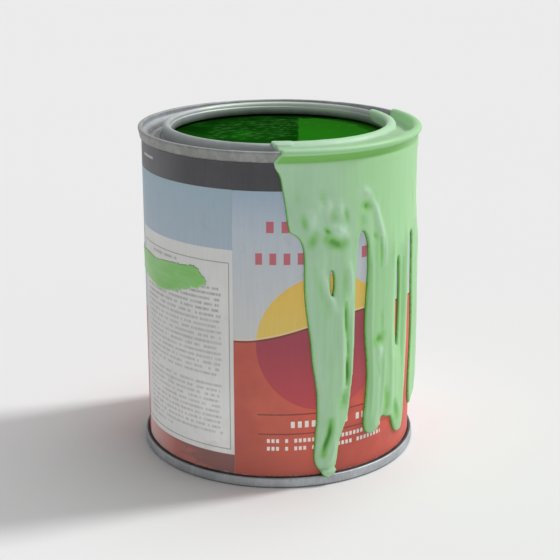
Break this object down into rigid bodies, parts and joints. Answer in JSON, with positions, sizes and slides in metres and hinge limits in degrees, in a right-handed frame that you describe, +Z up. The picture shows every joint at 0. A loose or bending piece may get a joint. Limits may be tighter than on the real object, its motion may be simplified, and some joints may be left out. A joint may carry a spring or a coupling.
{
  "type": "paint tin",
  "caption": "Open round lever-lid paint tin with a lid seat, rim channel and paper wrap label, full of paint, with paint poured over the rim and running down one side.",
  "frame": {"origin": "centre of the base, in the plane of the bottom seam's resting face", "axes": "+Z up, out of the mouth; -Y towards the middle of the label's printed front; +X to the right of someone facing that front"},
  "size_m": [0.1124, 0.113, 0.1331],
  "materials": {
    "tinplate_body": "dull tinplate with a faint grey bloom",
    "tinplate_end": "dull tinplate, rolled seam brighter on its crown",
    "tinplate_ring": "dull tinplate with smudges and fine scratches",
    "seam_compound": "matt dark grey sealing compound",
    "printed_paper": "printed satin paper, dark band, pale sky, red ground and a yellow disc",
    "label_paste": "dried paste",
    "wet_paint": "deep green liquid paint, glossy",
    "skinned_paint": "pale green paint film, satin gloss",
    "brushed_paint": "mid green brushed paint, satin"
  },
  "bodies": {
    "root": {"body_shell": "tinplate_body", "bottom_end": "tinplate_end", "top_ring": "tinplate_ring", "bottom_seam_compound": "seam_compound", "top_seam_compound": "seam_compound", "label": "printed_paper", "label_paste": "label_paste", "paint_fill": "wet_paint", "paint_spill": "skinned_paint", "paint_smear": "brushed_paint"}
  },
  "joints": []
}
